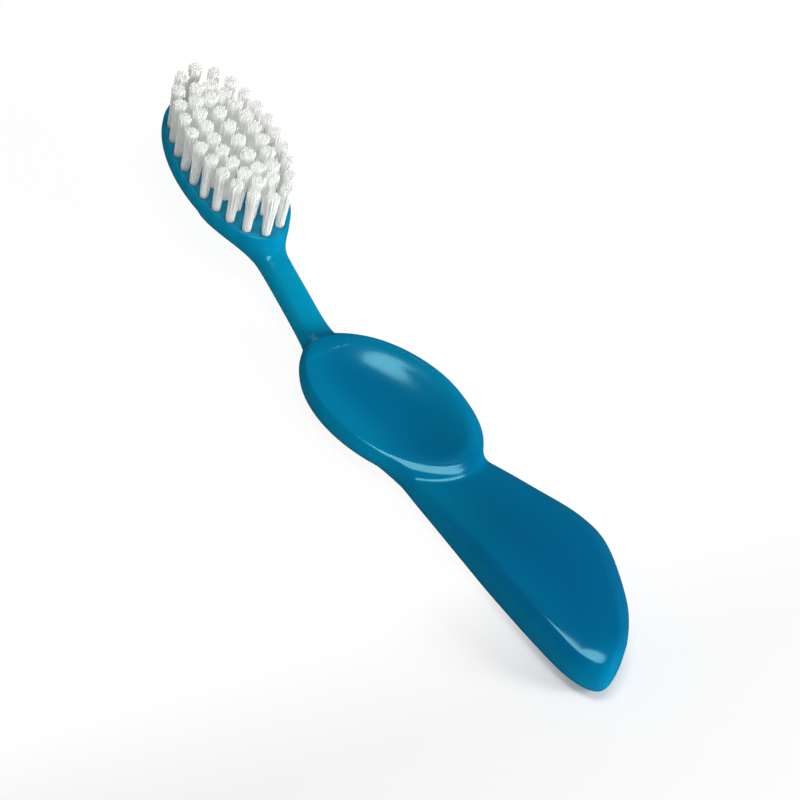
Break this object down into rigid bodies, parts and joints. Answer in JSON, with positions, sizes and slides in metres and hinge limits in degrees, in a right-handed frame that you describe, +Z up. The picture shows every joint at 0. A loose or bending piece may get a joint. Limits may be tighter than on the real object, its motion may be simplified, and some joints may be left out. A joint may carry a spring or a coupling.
{
  "type": "manual toothbrush",
  "caption": "Manual toothbrush with an oval bristle head, a slim neck, an oval thumb bowl and a wing-shaped grip, moulded in one piece.",
  "frame": {"origin": "on the flat underside, under the middle of the thumb pad; the head and neck lie on Y = 0", "axes": "+X runs along the brush from the head to the end of the wing, +Y is the side that the wing bulges to, +Z is up, the way the bristles point"},
  "size_m": [0.1479, 0.0368, 0.0226],
  "materials": {
    "handle_plastic": "polished, translucent teal blue",
    "bristle_nylon": "milky white filaments",
    "anchor_wire": "bright flat wire"
  },
  "bodies": {
    "root": {"handle": "handle_plastic", "tuft_anchors": "anchor_wire", "tuft_outer_01": "bristle_nylon", "tuft_outer_02": "bristle_nylon", "tuft_outer_03": "bristle_nylon", "tuft_outer_04": "bristle_nylon", "tuft_outer_05": "bristle_nylon", "tuft_outer_06": "bristle_nylon", "tuft_outer_07": "bristle_nylon", "tuft_outer_08": "bristle_nylon", "tuft_outer_09": "bristle_nylon", "tuft_outer_10": "bristle_nylon", "tuft_outer_11": "bristle_nylon", "tuft_outer_12": "bristle_nylon", "tuft_outer_13": "bristle_nylon", "tuft_outer_14": "bristle_nylon", "tuft_outer_15": "bristle_nylon", "tuft_outer_16": "bristle_nylon", "tuft_outer_17": "bristle_nylon", "tuft_outer_18": "bristle_nylon", "tuft_outer_19": "bristle_nylon", "tuft_outer_20": "bristle_nylon", "tuft_outer_21": "bristle_nylon", "tuft_outer_22": "bristle_nylon", "tuft_inner_01": "bristle_nylon", "tuft_inner_02": "bristle_nylon", "tuft_inner_03": "bristle_nylon", "tuft_inner_04": "bristle_nylon", "tuft_inner_05": "bristle_nylon", "tuft_inner_06": "bristle_nylon", "tuft_inner_07": "bristle_nylon", "tuft_inner_08": "bristle_nylon", "tuft_inner_09": "bristle_nylon", "tuft_inner_10": "bristle_nylon", "tuft_inner_11": "bristle_nylon", "tuft_inner_12": "bristle_nylon", "tuft_inner_13": "bristle_nylon", "tuft_inner_14": "bristle_nylon", "tuft_inner_15": "bristle_nylon", "tuft_inner_16": "bristle_nylon", "tuft_inner_17": "bristle_nylon", "tuft_inner_18": "bristle_nylon", "tuft_centre_01": "bristle_nylon", "tuft_centre_02": "bristle_nylon", "tuft_centre_03": "bristle_nylon", "tuft_centre_04": "bristle_nylon", "tuft_centre_05": "bristle_nylon", "tuft_centre_06": "bristle_nylon"}
  },
  "joints": []
}
